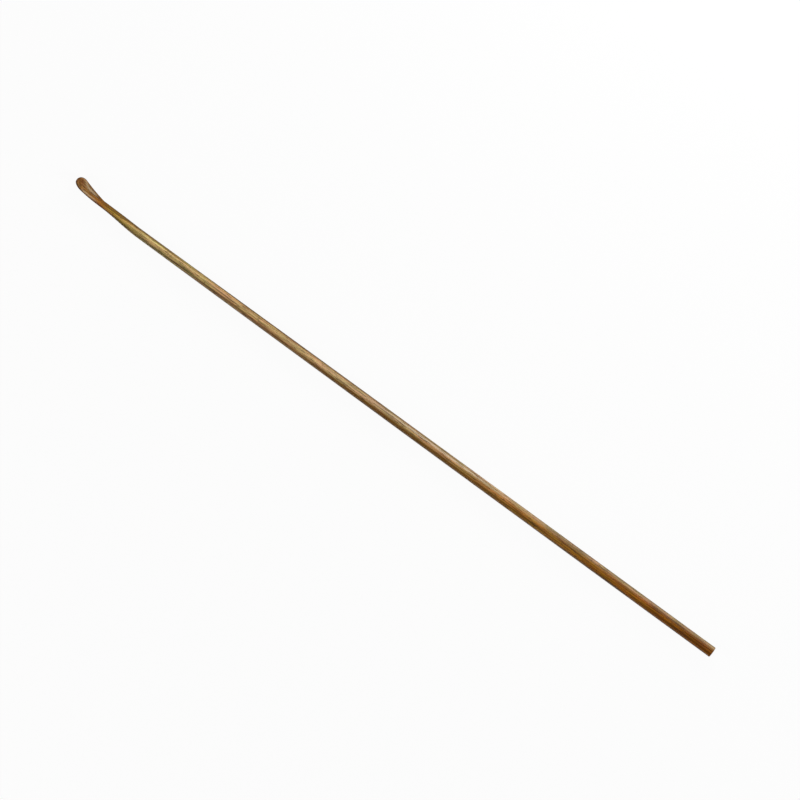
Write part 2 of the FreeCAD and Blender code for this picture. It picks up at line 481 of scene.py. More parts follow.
def rising(values, low, high):
    """0 below low, 1 above high, and a straight ramp between them."""
    return np.clip((values - low) / (high - low), 0.0, 1.0)


def within(values, comes, goes):
    """1 between two soft ends: it rises over one pair of values and falls over the other."""
    return rising(values, *comes) * rising(-values, -goes[1], -goes[0])


def store(name, values):
    """Keeps one value for each point on the mesh, and 0 where none is given."""
    padded = np.zeros(len(points), np.float32)
    padded[: values.size] = values.ravel()
    layer = pick_mesh.attributes.new(name, "FLOAT", "POINT")
    layer.data.foreach_set("value", padded)


store("end_grain", np.abs(normals[:, 0]))
print("cut squarely across:", int((np.abs(normals[:, 0]) > 0.9).sum()), "points")

# %% [markdown]
# ### Painted highlight on the rims
# Two soft pale bands of painted highlight run along the inside of the scoop, beside the
# raised sides, so that the rims look lit. Each is a bell curve across the scoop. Its
# middle drifts outwards as the scoop widens, and it fades at both ends.

# %% Painted highlight bands inside the scoop
LOWER_BAND_SHARE = 0.6


def rim_band(share, centre, drift, start, run, half_width, comes, goes):
    """Soft band along the rim, placed as a share of the half width."""
    middle = centre + drift * np.clip(mm_along - start, 0.0, run)
    across = np.exp(-(((share - middle) / half_width) ** 2))
    return across * within(mm_along, comes, goes)


# Painted highlight: pale bands along both rims inside the scoop.
upper_band = rim_band(-side_share, centre=0.45, drift=0.17, start=169.8, run=1.6,
                      half_width=0.14, comes=(166.8, 168.2), goes=(170.4, 172.2))
lower_band = rim_band(side_share, centre=0.66, drift=0.06, start=167.2, run=3.0,
                      half_width=0.20, comes=(166.2, 167.6), goes=(170.0, 171.2))
painted_rim_highlight = np.maximum(upper_band, LOWER_BAND_SHARE * lower_band) * front_only
store("painted_rim_highlight", painted_rim_highlight)
print("pale rim on", int((painted_rim_highlight > 0.5).sum()), "points")

# %% [markdown]
# ### Painted shade on the head
# The back of the head is painted dark brown as shade, and a thin dark outline of painted
# shade runs along both edges and round the tip. The gouged hollow is left out. The open
# grain makes the painted shade uneven, so it shows through the brown.

# %% Painted shade on the back, edges and tip
HEAD_SHADE_START_X, HEAD_SHADE_RISE = 159.0, 6.0
BACK_NORMAL, BACK_SOFTNESS, BACK_TONE = 0.80, 0.5, 0.92
FIBRE_TONE, FIBRE_SWING = 0.60, 0.55
LOWER_EDGE, UPPER_EDGE = (0.93, 1.02), (0.70, 0.86)
LOWER_EDGE_WIDENS, LOWER_EDGE_FROM, LOWER_EDGE_RUN = 0.14, 170.3, 1.0
TIP_EDGE, TIP_SOFTNESS, TIP_LOWER_SHARE, TIP_UPPER_SIDE = 0.90, 0.45, 0.3, (-0.5, 0.1)

head_shade_share = np.array([ease((x - HEAD_SHADE_START_X) / HEAD_SHADE_RISE) for x, _ in stations])
net_points = net.reshape(-1, 3)
grain_at = [open_grain(point) if point[0] > HEAD_SHADE_START_X else 0.0 for point in net_points]
uneven = FIBRE_TONE + FIBRE_SWING * np.array(grain_at).reshape(ring_count, ring_size)
up_normals = normals[: ring_count * ring_size, 2].reshape(ring_count, ring_size)
# Painted shade on the back of the head, where the normals turn away from the front.
turned_away = np.clip((BACK_NORMAL - up_normals) / BACK_SOFTNESS, 0.0, 1.0)
back_skin = BACK_TONE * uneven * turned_away * (~cut)

widened = LOWER_EDGE_WIDENS * np.clip(mm_along - LOWER_EDGE_FROM, 0.0, LOWER_EDGE_RUN)
# Painted shade as a dark outline along both edges and round the tip.
edges = np.maximum(rising(side_share + widened, *LOWER_EDGE), rising(-side_share, *UPPER_EDGE))
at_tip = rising(mm_along, LENGTH - TIP_EDGE, LENGTH - TIP_EDGE + TIP_SOFTNESS)
upper_side = rising(-mm_across, *TIP_UPPER_SIDE)
tip_edge = at_tip * (TIP_LOWER_SHARE + (1.0 - TIP_LOWER_SHARE) * upper_side)
painted_head_shade = np.maximum(back_skin, np.maximum(edges, tip_edge)) * head_shade_share[:, None]
store("painted_head_shade", painted_head_shade)
print("painted head shade:", int((painted_head_shade > 0.5).sum()), "points")

# %% [markdown]
# ### Painted shadows and a red patch
# Painted shadows, dark and red, lie on the lower side of the neck and in two small spots
# at the deep end of the hollow near the tip. The middle of the neck has a warmer orange
# patch. Each is a soft round spot that is longer along the fibres, placed in millimetres.

# %% Spots on the neck and near the tip
SECOND_SPOT_SHARE, TIP_SPOTS_SHARE, GLOW_SHARE = 0.75, 0.75, 0.7


def spot(x, y, reach_x, reach_y):
    """Soft round mark on the head, in millimetres."""
    return np.exp(-(((mm_along - x) / reach_x) ** 2) - ((mm_across - y) / reach_y) ** 2)


# Painted shadows: two spots at the deep end of the hollow near the tip.
first_spot = spot(x=171.6, y=-0.60, reach_x=0.40, reach_y=0.16)
second_spot = spot(x=171.7, y=0.22, reach_x=0.38, reach_y=0.16)
tip_spots = np.maximum(first_spot, SECOND_SPOT_SHARE * second_spot) * front_only
# Painted shadow on the lower side of the neck.
neck_shadow = spot(x=166.2, y=1.05, reach_x=1.8, reach_y=0.42)
neck_glow = spot(x=166.3, y=0.25, reach_x=1.7, reach_y=0.50)
store("painted_shadow", np.maximum(neck_shadow, TIP_SPOTS_SHARE * tip_spots))
store("reddened", GLOW_SHARE * neck_glow)
print("masks:", [layer.name for layer in pick_mesh.attributes if layer.data_type == "FLOAT"])

# %% [markdown]
# ## The wood itself
# Wood is a solid material: a streak on the side of a stick comes out as a dot on its
# end. So its figure is worked out in space, in the pick's own millimetres, and drawn out
# along the stick. An image wrapped round the stick would break at every edge. What all
# the finishes share is in shader groups, and a few helpers keep their trees readable.

# %% Helpers that add nodes
def place(tree, kind, title, values=None, **settings):
    """Adds a node, sets its options, and fills or links its sockets."""
    made = tree.nodes.new(kind)
    made.name = made.label = title
    for name, value in settings.items():
        setattr(made, name, value)
    for name, value in (values or {}).items():
        if isinstance(value, bpy.types.NodeSocket):
            tree.links.new(value, made.inputs[name])
        else:
            made.inputs[name].default_value = value
    return made


def sums(tree, operation, a, b, title, c=None, clamp=False):
    """One step of arithmetic."""
    values = {0: a, 1: b} if c is None else {0: a, 1: b, 2: c}
    made = place(tree, "ShaderNodeMath", title, values, operation=operation)
    made.use_clamp = clamp
    return made.outputs[0]


def remap(tree, value, low, high, title, to_low=0.0, to_high=1.0):
    """Smooth step from one range to another."""
    ends = {"Value": value, "From Min": low, "From Max": high, "To Min": to_low, "To Max": to_high}
    made = place(tree, "ShaderNodeMapRange", title, ends, interpolation_type="SMOOTHSTEP")
    return made.outputs["Result"]


print("helpers ready:", place.__name__, sums.__name__, remap.__name__)

# %% [markdown]
# ### Noise along the fibres
# Nearly every mark in wood is long and thin. One helper makes such noise: it shrinks the
# place along the stick before it looks the noise up, so that the noise comes out drawn
# long. The second helper mixes colours, for laying one mark over another.

# %% Helpers for noise and colours
def drawn_noise(tree, where, stretch, size, detail, title):
    """Noise of about this size in mm across the wood, drawn out along it."""
    shrunk = place(tree, "ShaderNodeVectorMath", title + " drawn out",
                   {0: where, 1: (1.0 / stretch, 1.0, 1.0)}, operation="MULTIPLY")
    made = place(tree, "ShaderNodeTexNoise", title,
                 {"Vector": shrunk.outputs[0], "Scale": 1.0 / size, "Detail": detail})
    return made.outputs["Fac"]


def blend_colours(tree, share, a, b, title, mode="MIX"):
    """Mixes colour b into colour a by a share, which may be a mask."""
    made = place(tree, "ShaderNodeMix", title, data_type="RGBA", blend_type=mode)
    for socket, value in ((made.inputs[0], share), (made.inputs[6], a), (made.inputs[7], b)):
        if isinstance(value, bpy.types.NodeSocket):
            tree.links.new(value, socket)
        else:
            socket.default_value = value
    return made.outputs[2]


print("helpers ready:", drawn_noise.__name__, blend_colours.__name__)

# %% [markdown]
# ### An empty group
# A group is a small tree with named sockets that several materials share. Its inputs
# carry the values in which the finishes differ, and it puts out only colours, masks and
# heights. The shader itself stays in each material.

# %% Helper for groups
FLOAT, COLOUR, VECTOR = "NodeSocketFloat", "NodeSocketColor", "NodeSocketVector"


def group(title, inputs, outputs):
    """Empty shader group with named sockets, and its two end nodes."""
    tree = bpy.data.node_groups.new(title, "ShaderNodeTree")
    for name, kind, value in inputs:
        socket = tree.interface.new_socket(name, in_out="INPUT", socket_type=kind)
        if value is not None:
            socket.default_value = value
    for name, kind in outputs:
        tree.interface.new_socket(name, in_out="OUTPUT", socket_type=kind)
    return tree, tree.nodes.new("NodeGroupInput"), tree.nodes.new("NodeGroupOutput")


print("kinds of socket:", FLOAT, COLOUR, VECTOR)

# %% [markdown]
# ### Figure: the growth layers
# A tree grows in layers, and a stick cut from it shows their edges as thin dark lines
# along its length, and as nested curves where the gouge cuts through them. The layers
# are a wave through space, tilted across the stick and bent a little by slow noise.
# Very fine dark fibre lines lie between them.

# %% Group: figure of the wood, and its dark lines
LAYER_SPACING, LAYER_TILT, LAYER_BEND = 0.55, math.radians(-32.0), 0.55
LAYER_NORMAL = (0.0, math.cos(LAYER_TILT), math.sin(LAYER_TILT))
figure, figure_in, figure_out = group(
    "figure_of_the_wood",
    [("Position", VECTOR, None), ("Pore Share", FLOAT, 0.5)],
    [("Bands", FLOAT), ("Dark Lines", FLOAT), ("Streaks", FLOAT), ("Hue", FLOAT),
     ("Pores", FLOAT), ("Fibre Height", FLOAT)],
)
position = figure_in.outputs["Position"]
layer_depth = place(figure, "ShaderNodeVectorMath", "depth in the layers",
                    {0: position, 1: LAYER_NORMAL}, operation="DOT_PRODUCT").outputs["Value"]
bend = drawn_noise(figure, position, stretch=60.0, size=1.1, detail=1.0, title="bend of the layers")
swerve = sums(figure, "SUBTRACT", bend, 0.5, "bend about 0")
bent = sums(figure, "MULTIPLY_ADD", swerve, LAYER_BEND, "bent layers", c=layer_depth)
phase = sums(figure, "MULTIPLY", bent, 2.0 * math.pi / LAYER_SPACING, "phase")
wave = sums(figure, "SINE", phase, 0.0, "wave")
half_wave = sums(figure, "MULTIPLY_ADD", wave, 0.5, "half wave", c=0.5)
layer_lines = remap(figure, half_wave, 0.35, 1.0, "thin layer lines")
fine_noise = drawn_noise(figure, position, stretch=90.0, size=0.070, detail=2.0, title="fibre lines")
fine_lines = remap(figure, fine_noise, 0.47, 0.62, "dark fibre lines", to_high=0.9)
dark_lines = sums(figure, "MAXIMUM", layer_lines, fine_lines, "dark lines")
figure.links.new(dark_lines, figure_out.inputs["Dark Lines"])
print("layers every", LAYER_SPACING, "mm")

# %% [markdown]
# ### Figure: bands, streaks and hue
# Between the lines the wood is never one colour. Slow bands of paler and darker growth
# lie under finer streaks, and patches lean to olive or to red. All three are the same
# drawn noise at other sizes, each spread to use its full range.

# %% Bands, streaks and patches of hue
bands = drawn_noise(figure, position, stretch=42.0, size=0.75, detail=2.0, title="growth bands")
streaks = drawn_noise(figure, position, stretch=22.0, size=0.26, detail=4.0, title="streaks")
hue = drawn_noise(figure, position, stretch=6.5, size=0.60, detail=4.0, title="hue patches")
for made, low, high, name in ((bands, 0.32, 0.68, "Bands"), (streaks, 0.36, 0.64, "Streaks"),
                              (hue, 0.36, 0.64, "Hue")):
    figure.links.new(remap(figure, made, low, high, name + " spread"), figure_out.inputs[name])
print("figure group:", len(figure.nodes), "nodes so far")

# %% [markdown]
# ### Figure: pores and fibres
# This wood has open pores, short dark slits along the grain, and the fibres between them
# stand a little proud. The pores are the highest peaks of a noise, so the group's pore
# share sets how many there are. The height goes to the bump of each finish.

# %% Pores, and the height of the fibres
PORE_EDGE, PORE_EDGE_SWING, PORE_SOFTNESS = 0.80, 0.2, 0.06
pore_noise = drawn_noise(figure, position, stretch=17.0, size=0.11, detail=1.0, title="pores")
fibres = drawn_noise(figure, position, stretch=26.0, size=0.030, detail=2.0, title="fibres")
pore_drop = sums(figure, "MULTIPLY", figure_in.outputs["Pore Share"], PORE_EDGE_SWING, "share")
pore_edge = sums(figure, "SUBTRACT", PORE_EDGE, pore_drop, "pore edge")
past_edge = sums(figure, "SUBTRACT", pore_noise, pore_edge, "past the pore edge")
pores = remap(figure, past_edge, 0.0, PORE_SOFTNESS, "open pores")
raised = sums(figure, "MULTIPLY_ADD", fibres, 0.5, "fibre height", c=0.5)
height = sums(figure, "SUBTRACT", raised, pores, "height with pores")
figure.links.new(pores, figure_out.inputs["Pores"])
figure.links.new(height, figure_out.inputs["Fibre Height"])
print("figure group:", len(figure.nodes), "nodes")

# %% [markdown]
# ## Colours
# The wood is red-brown at the butt, where it is heartwood. It turns to tan, then a little
# olive towards the neck, and brown again at the head. Named colours can be changed one
# by one. They are linear values, as Blender's sockets take them.

# %% Colours by name
BUTT_BROWN = (0.235, 0.079, 0.005, 1.0)
SHANK_BROWN = (0.223, 0.092, 0.010, 1.0)
LOWER_BROWN = (0.328, 0.156, 0.029, 1.0)
MIDDLE_TAN = (0.376, 0.249, 0.137, 1.0)
UPPER_TAN = (0.418, 0.260, 0.125, 1.0)
NECK_TAN = (0.440, 0.334, 0.142, 1.0)
OLIVE_BROWN = (0.247, 0.140, 0.018, 1.0)
RED_BROWN = (0.220, 0.105, 0.011, 1.0)
SCOOP_BROWN = (0.256, 0.122, 0.034, 1.0)
# Of the colours below, the heart line and the edge line are partly painted shade, the sapwood is a
# painted highlight, and the dry brown is partly a painted highlight.
HEART_LINE_AND_SHADE = (0.150, 0.062, 0.004, 1.0)
EDGE_LINE_AND_SHADE = (0.085, 0.042, 0.004, 1.0)
BUTT_LINE = (0.070, 0.022, 0.002, 1.0)
PAINTED_HIGHLIGHT_TAN = (0.540, 0.420, 0.270, 1.0)
PALE_SIDE_AND_HIGHLIGHT = (0.432, 0.325, 0.212, 1.0)
PORE_BROWN = (0.060, 0.024, 0.010, 1.0)
OLIVE_CAST = (0.900, 1.000, 0.660, 1.0)
RED_CAST = (1.140, 0.900, 0.820, 1.0)
LENGTH_STOPS = [
    (0.05, BUTT_BROWN), (0.185, SHANK_BROWN), (0.27, LOWER_BROWN), (0.56, MIDDLE_TAN),
    (0.73, UPPER_TAN), (0.875, NECK_TAN), (0.943, OLIVE_BROWN), (0.962, RED_BROWN),
    (0.985, SCOOP_BROWN),
]
print("colours along the stick:", len(LENGTH_STOPS))

# %% [markdown]
# ### The colour along the stick
# The second group turns the masks of the figure into colour. It begins with a ramp over
# the length, from the heartwood of the butt to the scoop. Separate materials for each
# stretch would show a seam, and a ramp has none.

# %% Group: colours of the wood, and the ramp along it
colours, colours_in, colours_out = group(
    "colours_of_the_wood",
    [("Position", VECTOR, None), ("Bands", FLOAT, 0.5), ("Streaks", FLOAT, 0.5),
     ("Pores", FLOAT, 0.0), ("Dark Lines", FLOAT, 0.0), ("Hue", FLOAT, 0.5),
     ("Side Lines", FLOAT, 0.6), ("Line Contrast", FLOAT, 0.3), ("Hue Contrast", FLOAT, 0.5),
     ("Contrast", FLOAT, 0.5)],
    [("Color", COLOUR)],
)
split = place(colours, "ShaderNodeSeparateXYZ", "split", {0: colours_in.outputs["Position"]})
from_butt = split.outputs["X"]
length_share = sums(colours, "DIVIDE", from_butt, LENGTH, "share of the length")
ramp = place(colours, "ShaderNodeValToRGB", "colour along the stick", {0: length_share})
ramp.color_ramp.interpolation = "EASE"
while len(ramp.color_ramp.elements) < len(LENGTH_STOPS):
    ramp.color_ramp.elements.new(0.5)
for stop, (stop_place, stop_colour) in zip(ramp.color_ramp.elements, LENGTH_STOPS):
    stop.position = stop_place
    stop.color = stop_colour
print("ramp of", len(ramp.color_ramp.elements), "stops")

# %% [markdown]
# ### Which side of the stick
# A stick cut near the heart of a branch is darker on one side, and its outer side is
# paler. Here the heart side is also the side turned from the key lamp, so its darkness is
# partly painted shade, and the paler outer side is partly a painted highlight. So the
# group asks how far a place lies towards the heart side, in millimetres, and a slow noise
# makes that wander, because no growth line is dead straight.

# %% Distance towards the heart side
HEART_SIDE, WANDER = (0.0, 0.766, -0.643), 0.3
towards_heart = place(colours, "ShaderNodeVectorMath", "towards the heart side",
                      {0: colours_in.outputs["Position"], 1: HEART_SIDE}, operation="DOT_PRODUCT")
slow_noise = place(colours, "ShaderNodeTexNoise", "wander of the line",
                   {"W": from_butt, "Scale": 0.05, "Detail": 1.0}, noise_dimensions="1D")
noise_about_0 = sums(colours, "SUBTRACT", slow_noise.outputs["Fac"], 0.5, "wander about 0")
wander_mm = sums(colours, "MULTIPLY", noise_about_0, WANDER, "wander in mm")
wandered = sums(colours, "ADD", towards_heart.outputs["Value"], wander_mm, "wandered side")
print("lines wander by", WANDER / 2, "mm each way at most")

# %% [markdown]
# ### A line or side of the wood
# Each coloured line or side of the wood is a share from 0 to 1. It rises across the
# stick, may fall again, and comes and goes along it, all with soft ends. The finishes
# can turn all of them down together.

# %% Share of one line or side
def side_line(title, rise, comes, goes, fall=None, strength=1.0):
    """Share of a coloured side: rise and fall across, comes and goes along, in mm."""
    across = remap(colours, wandered, rise[0], rise[1], title + " side")
    if fall:
        far_side = remap(colours, wandered, fall[1], fall[0], title + " far side")
        across = sums(colours, "MULTIPLY", across, far_side, title + " width")
    come = remap(colours, from_butt, comes[0], comes[1], title + " comes in")
    go = remap(colours, from_butt, goes[1], goes[0], title + " goes out")
    along = sums(colours, "MULTIPLY", come, go, title + " stretch")
    share = sums(colours, "MULTIPLY", across, along, title)
    shown = sums(colours, "MULTIPLY", share, colours_in.outputs["Side Lines"], title + " share")
    return sums(colours, "MULTIPLY", shown, strength, title + " strength")


print("colour group:", len(colours.nodes), "nodes before the lines")

# %% [markdown]
# ### The lines and sides of this stick
# The heart side has a dark streak along the middle of the stick, partly the wood's own
# streak and partly painted shade. Thin dark lines run along the edges, partly grain lines
# and partly painted shade where the sides turn away. Near the butt the other side is
# paler, partly paler wood and partly a painted highlight, with a dark line across from
# it, and a streak of painted highlight follows. What is there from the very end comes in
# before it, so that it is full at the butt.

# %% Shares of the lines and sides
AT_THE_BUTT = (-30.0, -20.0)
# Heart line: partly a dark streak in the wood, partly painted shade on the side turned from the key
# lamp.
heart_line_and_shade = side_line("heart line", rise=(0.10, 0.54), comes=(35.0, 70.0), goes=(95.0, 145.0))
# Pale side near the butt: partly paler wood, partly a painted highlight on the side towards the key
# lamp.
pale_side_and_highlight = side_line("pale side and painted highlight", rise=(-0.26, -1.04), comes=AT_THE_BUTT, goes=(60.0, 104.0))
butt_line = side_line("butt line", rise=(0.20, 0.42), fall=(0.72, 0.90),
                      comes=AT_THE_BUTT, goes=(5.0, 27.0), strength=0.95)
# Painted highlight: a pale streak on the lit side of the stick, from about 54 to 98 mm.
highlight_streak = side_line("painted highlight streak", rise=(-0.28, -0.46), fall=(-0.72, -0.88),
                    comes=(54.0, 68.0), goes=(80.0, 98.0), strength=0.68)
# Dark lines along both edges: partly grain lines, partly painted shade where the sides turn away.
edge_lines_and_shade = [
    side_line("edge line", rise=(-0.70, -0.86), comes=(52.0, 76.0), goes=(130.0, 160.0),
              strength=0.55),
    side_line("butt edge line", rise=(-0.80, -1.08), comes=AT_THE_BUTT, goes=(44.0, 76.0),
              strength=0.56),
    side_line("neck edge line", rise=(-0.46, -0.72), comes=(130.0, 152.0), goes=(158.0, 165.0),
              strength=0.95),
    side_line("lower edge line", rise=(0.78, 1.05), comes=(100.0, 128.0), goes=(156.0, 164.0),
              strength=0.60),
]
dark_edge_and_shade = edge_lines_and_shade[0]
for edge_line in edge_lines_and_shade[1:]:
    dark_edge_and_shade = sums(colours, "MAXIMUM", dark_edge_and_shade, edge_line, "dark edges and painted shade")
print("lines and sides:", 4 + len(edge_lines_and_shade))

# %% [markdown]
# ### Paler, darker and warmer
# The pale side, with its painted highlight, is mixed into the ramp first, so that the
# grain runs on through it. The bands and streaks then make the wood paler or darker, and
# the layer lines darken it: they are bolder at the butt and fade on the pale side. Last
# comes a cast of olive or red, which is multiplied in, as a stain would be.

# %% Grain over the ramp
BUTT_LINE_STRETCH, BUTT_LINE_GAIN, PALE_SIDE_FADE = (40.0, 12.0), 1.5, 0.55
dried = blend_colours(colours, pale_side_and_highlight, ramp.outputs["Color"], PALE_SIDE_AND_HIGHLIGHT, "paler side and painted highlight")
tone = sums(colours, "ADD", colours_in.outputs["Bands"], colours_in.outputs["Streaks"], "tone")
tone_about_0 = sums(colours, "SUBTRACT", tone, 1.0, "tone about 0")
swing = sums(colours, "MULTIPLY", tone_about_0, colours_in.outputs["Contrast"], "swing")
bolder = remap(colours, from_butt, *BUTT_LINE_STRETCH, "bolder at the butt", 1.0, BUTT_LINE_GAIN)
line_depth = sums(colours, "MULTIPLY", colours_in.outputs["Line Contrast"], bolder, "line depth")
faint = remap(colours, pale_side_and_highlight, 0.0, PALE_SIDE_FADE, "lines fade on the pale side", 1.0, 0.0)
faded = sums(colours, "MULTIPLY", colours_in.outputs["Dark Lines"], faint, "faded lines")
darkened_by = sums(colours, "MULTIPLY", faded, line_depth, "darkened by the lines")
lighter = sums(colours, "ADD", swing, 1.0, "paler or darker")
shade = sums(colours, "SUBTRACT", lighter, darkened_by, "less the dark lines")
toned = place(colours, "ShaderNodeVectorMath", "toned", {0: dried, "Scale": shade},
              operation="SCALE").outputs[0]
cast = blend_colours(colours, colours_in.outputs["Hue"], OLIVE_CAST, RED_CAST, "cast")
grained = blend_colours(colours, colours_in.outputs["Hue Contrast"], toned, cast,
                        "cast on the wood", "MULTIPLY")
print("colour group:", len(colours.nodes), "nodes so far")

# %% [markdown]
# ### Lay the lines on the wood
# The painted highlight streak goes on first and the dark lines, with their painted shade,
# over it. The open pores are last, because they are holes and stay dark through everything.

# %% Lines and pores over the grain
LAID_ON = [
    (highlight_streak, PAINTED_HIGHLIGHT_TAN, "painted highlight streak on it"),
    (dark_edge_and_shade, EDGE_LINE_AND_SHADE, "edge lines and painted shade on it"),
    (butt_line, BUTT_LINE, "butt line on it"),
    (heart_line_and_shade, HEART_LINE_AND_SHADE, "heart line and painted shade on it"),
    (colours_in.outputs["Pores"], PORE_BROWN, "pores"),
]
laid = grained
for line_share, line_colour, line_title in LAID_ON:
    laid = blend_colours(colours, line_share, laid, line_colour, line_title)
colours.links.new(laid, colours_out.inputs["Color"])
print("colour group:", len(colours.nodes), "nodes")

# %% [markdown]
# ## Cuts, painted light and painted shade
# A cut across the fibres drinks more oil and goes dark. Painted shade darkens the back,
# the edges and the tip of the head, painted shadows darken the neck's lower side and the
# deep end of the hollow, an orange patch warms the middle of the neck, and a painted
# highlight lightens the rims in the scoop. Each is one colour laid on by one of the masks
# on the mesh. A third group does this, so that all finishes get them alike.

# %% Group: cuts, painted light and painted shade
# The dark brown of the head is painted shade, the dark red is painted shadow, and the pale tan is a
# painted highlight on the rims; the cut brown is the wood's own oiled end grain.
CUT_BROWN = (0.095, 0.030, 0.004, 1.0)
HEAD_SHADE_BROWN = (0.100, 0.038, 0.004, 1.0)
GLOW_ORANGE = (0.270, 0.092, 0.010, 1.0)
SHADOW_RED = (0.100, 0.020, 0.002, 1.0)
RIM_HIGHLIGHT_TAN = (0.460, 0.335, 0.195, 1.0)
ACROSS_LOW, ACROSS_HIGH = 0.20, 0.52
cuts_and_painted_light, cuts_and_light_in, cuts_and_light_out = group(
    "cuts_painted_light_and_shade",
    [("Color", COLOUR, (0.3, 0.2, 0.1, 1.0)), ("End Grain", FLOAT, 0.0), ("Rim Highlight", FLOAT, 0.0),
     ("Painted Head Shade", FLOAT, 0.0), ("Reddened", FLOAT, 0.0), ("Painted Shadow", FLOAT, 0.0),
     ("Rim Highlight Strength", FLOAT, 0.4), ("Cut Darkening", FLOAT, 0.6),
     ("Base Roughness", FLOAT, 0.4), ("Fibre Height", FLOAT, 0.5)],
    [("Color", COLOUR), ("Roughness", FLOAT)],
)
mask_of = cuts_and_light_in.outputs
across_cut = remap(cuts_and_painted_light, mask_of["End Grain"], ACROSS_LOW, ACROSS_HIGH, "cut across the fibres")
cut_share = sums(cuts_and_painted_light, "MULTIPLY", across_cut, mask_of["Cut Darkening"], "dark share")
rim_highlight_share = sums(cuts_and_painted_light, "MULTIPLY", mask_of["Rim Highlight"], mask_of["Rim Highlight Strength"], "rim highlight share")
# Painted shade, painted shadows and the painted rim highlight are laid on here, with the oiled end
# grain.
MASKED_ON = [
    (mask_of["Reddened"], GLOW_ORANGE, "reddened neck"),
    (mask_of["Painted Shadow"], SHADOW_RED, "painted shadows"),
    (mask_of["Painted Head Shade"], HEAD_SHADE_BROWN, "painted shade on the head"),
    (cut_share, CUT_BROWN, "oiled end grain"),
    (rim_highlight_share, RIM_HIGHLIGHT_TAN, "painted rim highlight"),
]
worked = mask_of["Color"]
for masked_by, masked_colour, masked_title in MASKED_ON:
    worked = blend_colours(cuts_and_painted_light, masked_by, worked, masked_colour, masked_title)
cuts_and_painted_light.links.new(worked, cuts_and_light_out.inputs["Color"])
print("cuts and painted light group:", len(cuts_and_painted_light.nodes), "nodes so far")

# %% [markdown]
# ### Roughness
# Oiled wood isn't evenly smooth. A cut across the fibres is rougher than one along them,
# and the low places between the fibres, which the cloth misses, stay duller.

# %% Roughness in the wear group
CUT_ROUGHER, LOW_FIBRES_ROUGHER = 0.2, 0.22
cut_rough = sums(cuts_and_painted_light, "MULTIPLY", across_cut, CUT_ROUGHER, "rough cut")
rough = sums(cuts_and_painted_light, "ADD", mask_of["Base Roughness"], cut_rough, "cut roughness")
low_fibres = sums(cuts_and_painted_light, "SUBTRACT", 0.5, mask_of["Fibre Height"], "low fibres")
fibre_rough = sums(cuts_and_painted_light, "MULTIPLY", low_fibres, LOW_FIBRES_ROUGHER, "low fibres are rough")
roughness_sum = sums(cuts_and_painted_light, "ADD", rough, fibre_rough, "roughness", clamp=True)
cuts_and_painted_light.links.new(roughness_sum, cuts_and_light_out.inputs["Roughness"])
print("cuts and painted light group:", len(cuts_and_painted_light.nodes), "nodes")

# %% [markdown]
# ## A place in the wood
# The groups work in millimetres of the unrolled stick, measured from its butt. The mesh
# is in metres and rolled to its rest. A mapping node undoes the roll and the shift, so
# the figure stays fixed in the wood however the pick is turned.

# %% Place in the wood, and the masks
SHIFT_BACK = lay.to_3x3().inverted() @ (lay.translation / MM)
MASKS = {"End Grain": "end_grain", "Rim Highlight": "painted_rim_highlight", "Painted Head Shade": "painted_head_shade",
         "Painted Shadow": "painted_shadow", "Reddened": "reddened"}


def place_in_wood(tree):
    """Socket with the place on the unrolled stick, in millimetres."""
    coordinates = place(tree, "ShaderNodeTexCoord", "place on the pick")
    ends = {"Vector": coordinates.outputs["Object"], "Location": tuple(-SHIFT_BACK),
            "Rotation": (-REST_ROLL, 0.0, 0.0), "Scale": (1.0 / MM,) * 3}
    title = "millimetres of the unrolled stick"
    return place(tree, "ShaderNodeMapping", title, ends, vector_type="POINT").outputs[0]


def stored_mask(tree, name):
    return place(tree, "ShaderNodeAttribute", name, attribute_name=name).outputs["Fac"]


def use_group(tree, held, values):
    return place(tree, "ShaderNodeGroup", held.name, values, node_tree=held)


print("masks read by the finishes:", list(MASKS.values()))

# %% [markdown]
# ### One finish of the wood
# A finish is a material that holds the three groups with its own values. The shader and
# the bump stay in the material itself. The bump is only the relief of single fibres,
# a fiftieth of a millimetre, since every larger form is in the mesh.

# %% How a finish is made
FIBRE_RELIEF = 0.00002


def wood_finish(title, pore_share, side_lines, contrast, line_contrast, hue_contrast,
                roughness, darkening, rim_highlight, bump, shine):
    """Material with the figure, colours, cuts and painted light and shade of this wood, at its own
    strengths.
    """
    material = bpy.data.materials.new(title)
    material.use_nodes = True
    tree = material.node_tree
    tree.nodes.clear()
    here = place_in_wood(tree)
    grain = use_group(tree, figure, {"Position": here, "Pore Share": pore_share}).outputs
    values = {"Position": here, "Side Lines": side_lines, "Contrast": contrast,
              "Line Contrast": line_contrast, "Hue Contrast": hue_contrast}
    values.update({name: grain[name] for name in ("Bands", "Streaks", "Pores", "Dark Lines", "Hue")})
    wood = use_group(tree, colours, values).outputs
    values = {"Color": wood["Color"], "Rim Highlight Strength": rim_highlight, "Cut Darkening": darkening,
              "Base Roughness": roughness, "Fibre Height": grain["Fibre Height"]}
    values.update({socket: stored_mask(tree, name) for socket, name in MASKS.items()})
    finished = use_group(tree, cuts_and_painted_light, values).outputs
    relief = place(tree, "ShaderNodeBump", "fibre relief",
                   {"Strength": bump, "Distance": FIBRE_RELIEF, "Height": grain["Fibre Height"]})
    shader = place(tree, "ShaderNodeBsdfPrincipled", title,
                   {"Base Color": finished["Color"], "Roughness": finished["Roughness"],
                    "Normal": relief.outputs[0], "Specular IOR Level": shine})
    place(tree, "ShaderNodeOutputMaterial", "surface", {"Surface": shader.outputs[0]})
    return material


print("fibre relief", FIBRE_RELIEF / MM, "mm")

# %% [markdown]
# ### The three finishes
# The same wood shows three finishes: oiled and rubbed along the stick, cut and scraped
# in the hollow, and sawn at the butt. The rubbed wood has the strongest bands, and it
# alone has the side lines. The hollow is duller and shows its layers best, and the sawn
# end is the roughest.

